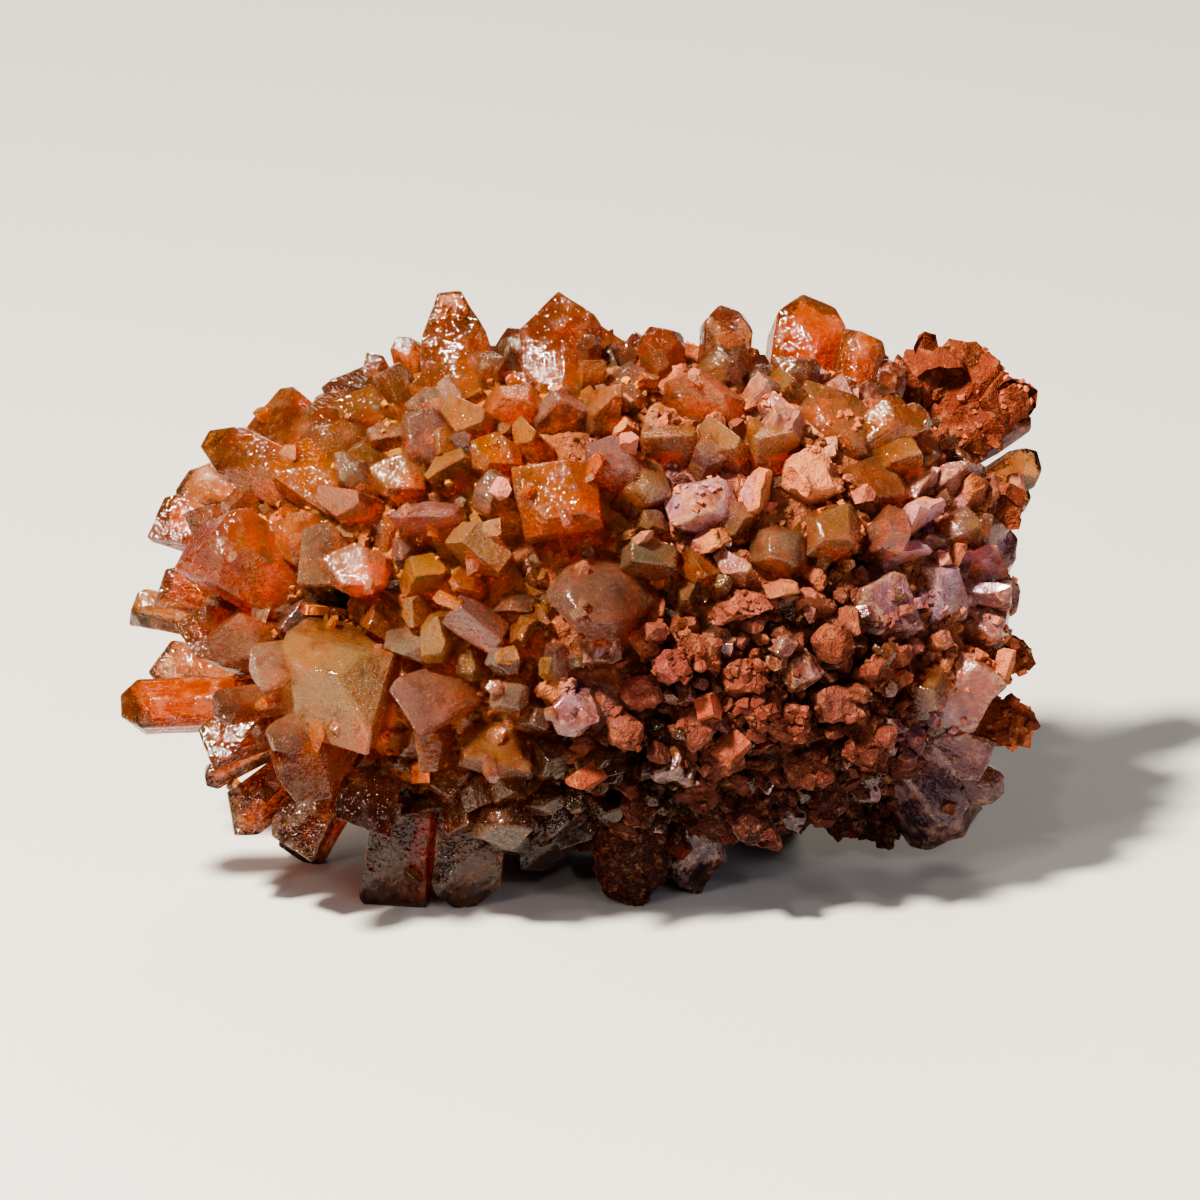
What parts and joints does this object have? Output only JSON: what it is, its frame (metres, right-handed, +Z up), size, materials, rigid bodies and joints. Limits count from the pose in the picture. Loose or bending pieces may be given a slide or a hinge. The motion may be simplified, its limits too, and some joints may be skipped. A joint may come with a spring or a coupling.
{
  "type": "creedite cluster",
  "caption": "Loose mineral cluster: blocky translucent prisms with chisel ends spread from a lumpy, clay-dusted core, and worn tips let it rest on a flat surface.",
  "frame": {"origin": "centre of the footprint's bounding box, on the flat surface that the cluster rests on", "axes": "+X runs along the long side towards the clay-coated end, with the long amber crystals at the -X end; +Z is up; the side in the picture faces -Y"},
  "size_m": [0.0463, 0.0264, 0.0296],
  "materials": {
    "creedite": "translucent amber-orange crystals with glassy faces and pale worn edges, dusted and crusted with matte salmon clay towards the +X end"
  },
  "bodies": {
    "root": {"creedite_cluster": "creedite"}
  },
  "joints": []
}
